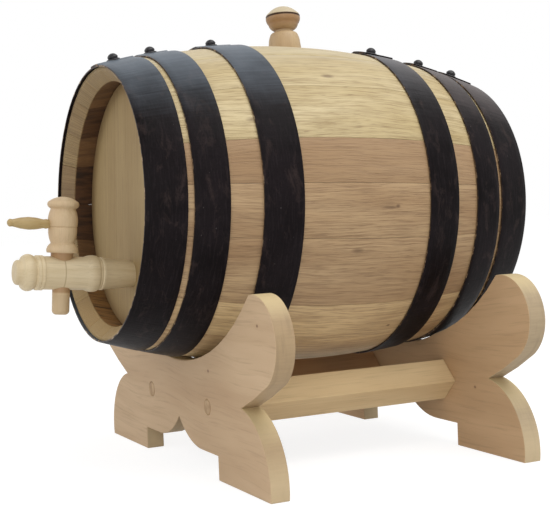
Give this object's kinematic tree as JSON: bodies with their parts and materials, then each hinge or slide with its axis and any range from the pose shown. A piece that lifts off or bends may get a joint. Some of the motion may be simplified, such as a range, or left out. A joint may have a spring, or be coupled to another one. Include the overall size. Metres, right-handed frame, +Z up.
{
  "type": "oak cask liquor dispenser",
  "caption": "Staved oak cask with riveted hoops on a wooden cradle stand, with a turning wooden tap low in its front head and a pull-out bung on top.",
  "frame": {"origin": "on the floor under the middle of the whole object's box", "axes": "+Z up, -Y towards the tap, +X to the right seen from the tap"},
  "size_m": [0.2908, 0.3228, 0.2972],
  "materials": {
    "oak_pale": "planed and lightly oiled oak",
    "oak_tan": "planed and lightly oiled darker oak",
    "head_oak": "planed oak, toasted towards the croze",
    "hoop_steel": "satin black coated strip",
    "rivet_steel": "satin black round head",
    "tap_wood": "turned fine-grained hardwood",
    "peg_wood": "turned hardwood",
    "bung_wood": "turned hardwood with a burnt line",
    "stand_board": "sanded pale softwood board",
    "stand_rail": "planed pale bar",
    "dowel_wood": "end grain dowel"
  },
  "bodies": {
    "stand": {"front_board": "stand_board", "rear_board": "stand_board", "left_rail": "stand_rail", "right_rail": "stand_rail", "dowel_front_left": "dowel_wood", "dowel_front_right": "dowel_wood", "dowel_rear_left": "dowel_wood", "dowel_rear_right": "dowel_wood"},
    "cask": {"stave_01": "oak_pale", "stave_02": "oak_pale", "stave_03": "oak_pale", "stave_04": "oak_pale", "stave_05": "oak_tan", "stave_06": "oak_tan", "stave_07": "oak_tan", "stave_08": "oak_pale", "stave_09": "oak_pale", "stave_10": "oak_pale", "stave_11": "oak_pale", "stave_12": "oak_tan", "stave_13": "oak_pale", "stave_14": "oak_pale", "stave_15": "oak_tan", "stave_16": "oak_tan", "stave_17": "oak_pale", "stave_18": "oak_tan", "stave_19": "oak_pale", "front_head_left": "head_oak", "front_head_middle": "head_oak", "front_head_right": "head_oak", "rear_head_left": "head_oak", "rear_head_middle": "head_oak", "rear_head_right": "head_oak", "hoop_front_chime": "hoop_steel", "hoop_front_quarter": "hoop_steel", "hoop_front_bilge": "hoop_steel", "hoop_rear_bilge": "hoop_steel", "hoop_rear_quarter": "hoop_steel", "hoop_rear_chime": "hoop_steel", "rivet_front_chime": "rivet_steel", "rivet_front_quarter": "rivet_steel", "rivet_front_bilge": "rivet_steel", "rivet_rear_bilge": "rivet_steel", "rivet_rear_quarter": "rivet_steel", "rivet_rear_chime": "rivet_steel", "tap_body": "tap_wood"},
    "key": {"tap_key": "tap_wood", "tap_peg": "peg_wood"},
    "bung": {"bung": "bung_wood"}
  },
  "joints": [
    {"name": "cask_lift", "type": "slide", "parent": "stand", "child": "cask", "axis": [0, 0, 1], "range_m": [0, 0.06]},
    {"name": "tap_turn", "type": "hinge", "parent": "cask", "child": "key", "pos_m": [0, -0.12934, 0.12704], "axis": [0, 0.0767, 0.9971], "continuous": true},
    {"name": "bung_pull", "type": "slide", "parent": "cask", "child": "bung", "axis": [-0.1219, 0.0346, 0.9919], "range_m": [0, 0.03]}
  ]
}
